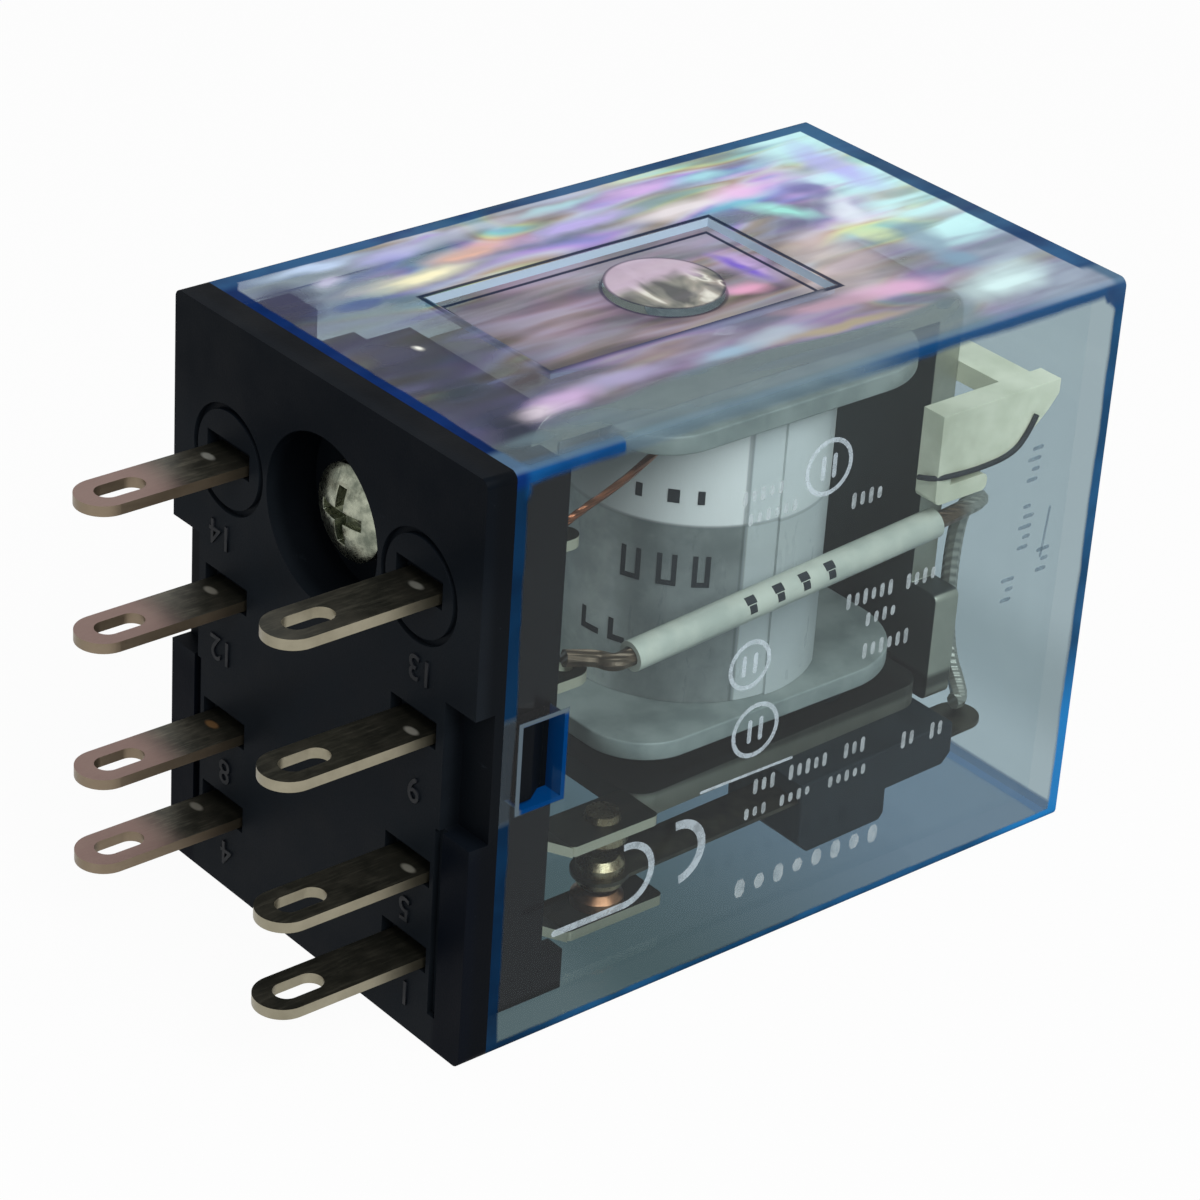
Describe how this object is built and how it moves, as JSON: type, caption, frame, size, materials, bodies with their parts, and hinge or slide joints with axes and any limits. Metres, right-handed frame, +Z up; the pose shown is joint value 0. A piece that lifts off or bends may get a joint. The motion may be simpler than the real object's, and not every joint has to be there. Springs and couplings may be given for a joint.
{
  "type": "relay",
  "caption": "Plug-in power relay: dark base with flat blades, clear blue-edged cover, and a coil with a hinged armature that throws changeover contacts",
  "frame": {"origin": "middle of the seating face, where the base meets a socket", "axes": "+X along the relay's height from the seating face to the far end of the cover, Y across the two columns of blades, +Z up, along a column from the contacts towards the coil blades"},
  "size_m": [0.0436, 0.0216, 0.028],
  "materials": {
    "base_plastic": "dark blue-grey moulded plastic, satin",
    "cover_clear": "clear plastic with a blue tint that shows in its edges, glossy",
    "blade_metal": "nickel-plated brass strip, dull, with pale worn edges",
    "contact_gold": "pale gold contact metal, satin",
    "contact_copper": "copper-coloured contact metal, satin",
    "yoke_steel": "zinc-plated steel, satin, slightly yellow",
    "screw_zinc": "bright zinc plating",
    "core_iron": "nickel-plated soft iron",
    "bobbin_plastic": "off-white moulded plastic",
    "coil_copper": "enamelled copper wire",
    "tape_film": "milky polyester tape",
    "block_plastic": "black moulded plastic",
    "spring_bronze": "spring bronze strip, satin",
    "return_steel": "bright spring wire",
    "guide_plastic": "cream moulded plastic",
    "lead_copper": "fine stranded copper braid",
    "sleeve_plastic": "off-white insulating sleeve"
  },
  "bodies": {
    "housing": {"base": "base_plastic", "cover": "cover_clear", "coil_terminal_13": "blade_metal", "coil_terminal_14": "blade_metal", "common_terminal_9": "blade_metal", "common_terminal_12": "blade_metal", "open_terminal_5": "blade_metal", "open_terminal_8": "blade_metal", "closed_terminal_1": "blade_metal", "closed_terminal_4": "blade_metal", "open_contact_5": "contact_gold", "open_contact_8": "contact_gold", "closed_contact_1": "contact_copper", "closed_contact_4": "contact_copper", "yoke": "yoke_steel", "yoke_screw": "screw_zinc", "core": "core_iron", "bobbin": "bobbin_plastic", "coil_winding": "coil_copper", "coil_tape": "tape_film", "coil_lead_13": "coil_copper", "coil_lead_14": "coil_copper", "return_spring": "return_steel", "lead_guide": "guide_plastic", "lead_wire_9": "lead_copper", "lead_wire_12": "lead_copper", "lead_sleeve_9": "sleeve_plastic", "lead_sleeve_12": "sleeve_plastic"},
    "armature": {"armature": "yoke_steel", "spring_block": "block_plastic", "moving_spring_9": "spring_bronze", "moving_spring_12": "spring_bronze", "moving_contact_9": "contact_gold", "moving_contact_12": "contact_gold"}
  },
  "joints": [
    {"name": "armature_hinge", "type": "hinge", "parent": "housing", "child": "armature", "pos_m": [0.03195, 0, -0.00715], "axis": [0, 1, 0], "range_deg": [0, 1.68], "stiffness_Nm_per_rad": 0.02, "springref_deg": -11.46}
  ]
}
